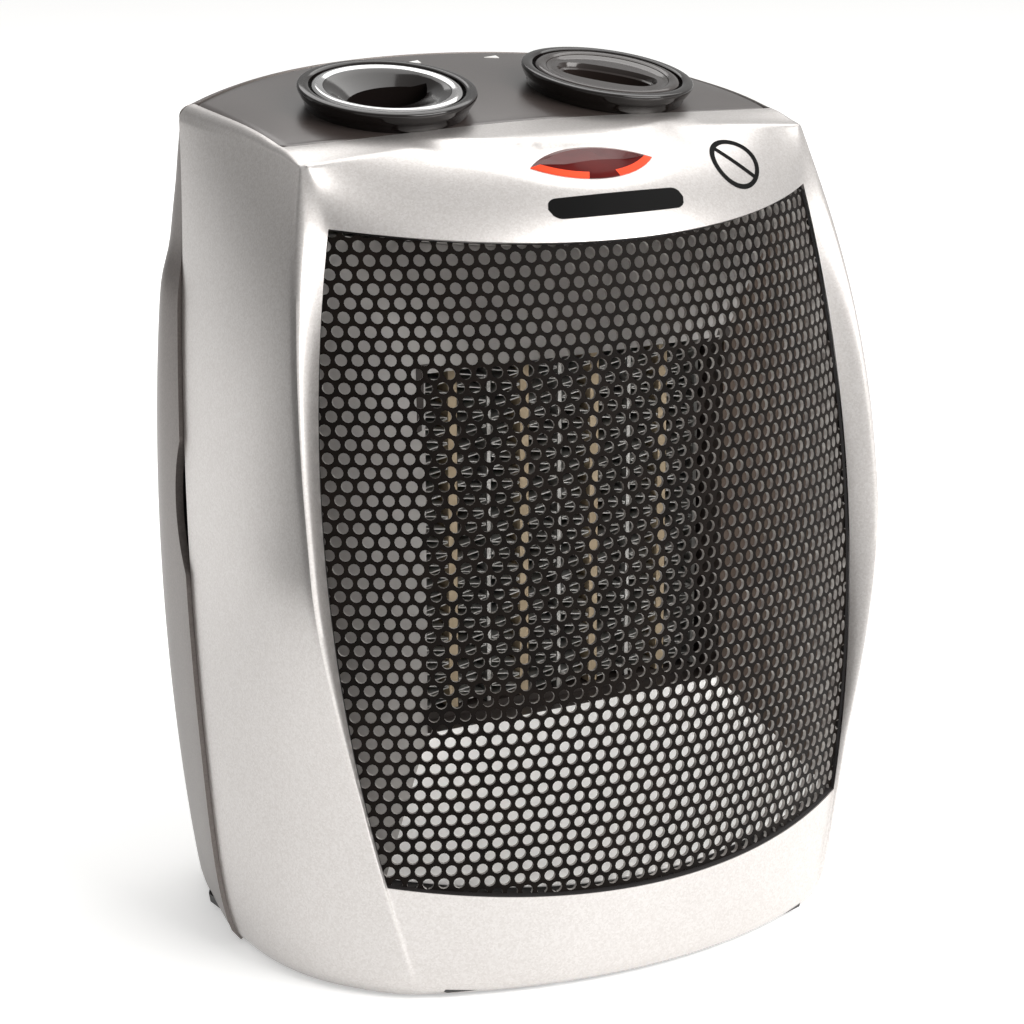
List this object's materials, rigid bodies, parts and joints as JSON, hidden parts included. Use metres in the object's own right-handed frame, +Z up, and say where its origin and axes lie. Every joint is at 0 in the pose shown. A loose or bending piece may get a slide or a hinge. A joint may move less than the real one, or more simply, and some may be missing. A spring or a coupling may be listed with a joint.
{
  "type": "ceramic space heater",
  "caption": "Table-top ceramic fan heater with a bowed perforated grille in front, a finned element behind it and two knobs on a sloping top.",
  "frame": {"origin": "on the floor under the middle of the heater's box, at the underside of the rubber feet", "axes": "+Z up, the perforated front faces -Y, +X to the right seen from the front"},
  "size_m": [0.186, 0.1534, 0.2336],
  "materials": {
    "silver_front": "satin metallic paint over moulded plastic",
    "grey_rear": "satin metallic silver-grey plastic",
    "charcoal_panel": "satin charcoal-brown plastic",
    "black_plastic": "fine-grained black plastic",
    "black_gloss": "glossy black-brown plastic",
    "knob_brown": "semi-gloss dark brown plastic",
    "grille_paint": "black powder-coated perforated steel",
    "funnel_metal": "bright rolled aluminised sheet, lightly brushed",
    "fin_aluminium": "thin aluminium fin stock",
    "ptc_ceramic": "unglazed tan ceramic",
    "steel_bright": "plated steel",
    "steel_dark": "oiled lamination steel",
    "copper_coil": "enamelled copper wire under tape",
    "bronze_bush": "sintered bronze",
    "brass_tab": "tinned brass",
    "chrome_trim": "chrome plate",
    "red_lens": "faceted clear red acrylic",
    "lamp_glass": "small neon lamp glass",
    "white_print": "white pad print",
    "dark_print": "dark pad print",
    "rubber_black": "soft black rubber",
    "nylon_white": "natural nylon",
    "bakelite": "dark phenolic moulding",
    "plunger_red": "red acetal",
    "wire_red": "silicone insulated wire"
  },
  "bodies": {
    "housing": {"front_shell": "silver_front", "rear_shell": "grey_rear", "top_panel": "charcoal_panel", "base_plate": "black_plastic", "rubber_feet": "rubber_black", "front_grille": "grille_paint", "rear_grille": "black_plastic", "outlet_funnel": "funnel_metal", "element_frame": "bakelite", "end_brackets": "bakelite", "ceramic_bars": "ptc_ceramic", "heat_fins": "fin_aluminium", "electrode_plates": "fin_aluminium", "terminal_tabs": "brass_tab", "thermal_cutout": "steel_bright", "fan_shroud": "black_plastic", "motor_stator": "steel_dark", "motor_coil": "copper_coil", "front_motor_bracket": "steel_bright", "rear_motor_bracket": "steel_bright", "shaft_bearings": "bronze_bush", "control_bracket": "steel_bright", "thermostat_body": "nylon_white", "mode_switch_body": "bakelite", "knob_collars": "black_gloss", "pointer_marks": "white_print", "indicator_lens": "red_lens", "indicator_lamp": "lamp_glass", "front_badge": "dark_print", "ring_mark": "dark_print", "tip_switch_body": "nylon_white", "cord_gland": "rubber_black", "terminal_block": "nylon_white", "lead_wires": "wire_red", "base_screws": "steel_bright", "rear_screws": "steel_bright", "motor_screws": "steel_bright"},
    "fan": {"fan_impeller": "black_plastic", "motor_shaft": "steel_bright", "motor_rotor": "steel_bright"},
    "thermostat_dial": {"thermostat_shaft": "brass_tab", "thermostat_knob": "black_gloss", "thermostat_trim": "chrome_trim"},
    "mode_dial": {"mode_switch_shaft": "brass_tab", "mode_knob": "knob_brown", "mode_trim": "knob_brown"},
    "tip_button": {"tip_plunger": "plunger_red"}
  },
  "joints": [
    {"name": "fan_spin", "type": "hinge", "parent": "housing", "child": "fan", "pos_m": [0, 0.016, 0.112], "axis": [0, 1, 0], "continuous": true},
    {"name": "thermostat_turn", "type": "hinge", "parent": "housing", "child": "thermostat_dial", "pos_m": [-0.0343, 0.006, 0.22382], "axis": [-0.0396, -0.1917, 0.9807], "range_deg": [-75, 195]},
    {"name": "mode_turn", "type": "hinge", "parent": "housing", "child": "mode_dial", "pos_m": [0.0343, 0.006, 0.22382], "axis": [0.0396, -0.1917, 0.9807], "range_deg": [0, 270]},
    {"name": "tip_button_slide", "type": "slide", "parent": "housing", "child": "tip_button", "axis": [0, 0, -1], "range_m": [0, 0.004], "stiffness_N_per_m": 120, "springref_m": 0.006}
  ]
}
